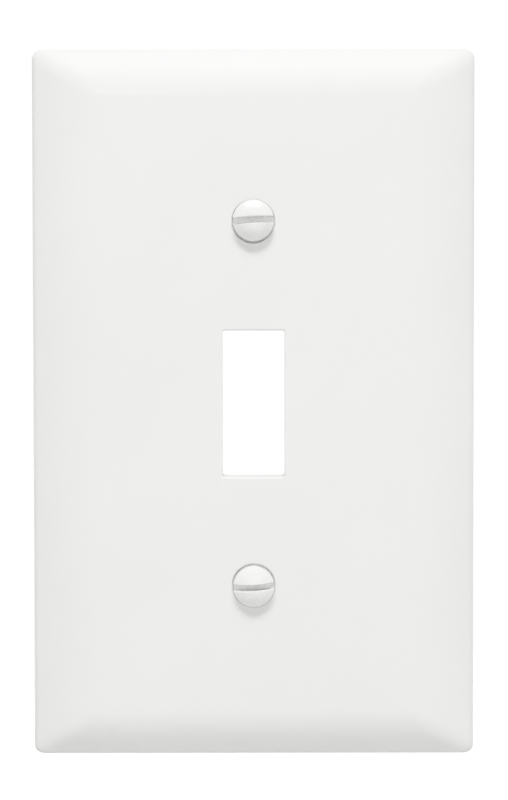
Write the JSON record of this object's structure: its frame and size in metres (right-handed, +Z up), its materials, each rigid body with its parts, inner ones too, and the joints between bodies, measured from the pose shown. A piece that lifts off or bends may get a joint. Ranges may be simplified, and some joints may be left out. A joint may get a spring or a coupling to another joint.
{
  "type": "toggle switch wall plate",
  "caption": "White moulded wall plate with a toggle opening and captive oval-head screws, covering a switch in its wall box.",
  "frame": {"origin": "on the wall plane that the plate's back rim rests on, midway between the two screw axes", "axes": "+X to the right seen from the room, +Y into the wall along the screws, +Z up the plate's long side"},
  "size_m": [0.0746, 0.017, 0.119],
  "materials": {
    "white_nylon": "satin",
    "painted_screw": "satin",
    "washer_fibre": "matte"
  },
  "bodies": {
    "plate": {"face_plate": "white_nylon"},
    "upper_retainer": {"upper_retainer": "washer_fibre"},
    "upper_screw": {"upper_screw": "painted_screw"},
    "lower_retainer": {"lower_retainer": "washer_fibre"},
    "lower_screw": {"lower_screw": "painted_screw"}
  },
  "joints": [
    {"name": "upper_screw_travel", "type": "slide", "parent": "plate", "child": "upper_retainer", "axis": [0, -1, 0], "range_m": [-0.00079, 0.00159]},
    {"name": "upper_screw_turn", "type": "hinge", "parent": "upper_retainer", "child": "upper_screw", "pos_m": [0, 0, 0.03016], "axis": [0, -1, 0], "range_deg": [-360, 720]},
    {"name": "lower_screw_travel", "type": "slide", "parent": "plate", "child": "lower_retainer", "axis": [0, -1, 0], "range_m": [-0.00079, 0.00159]},
    {"name": "lower_screw_turn", "type": "hinge", "parent": "lower_retainer", "child": "lower_screw", "pos_m": [0, 0, -0.03016], "axis": [0, -1, 0], "range_deg": [-360, 720]}
  ],
  "couplings": [
    {"joint": "upper_screw_turn", "follows": "upper_screw_travel", "rad_per_m": 7915.8},
    {"joint": "lower_screw_turn", "follows": "lower_screw_travel", "rad_per_m": 7915.8}
  ]
}
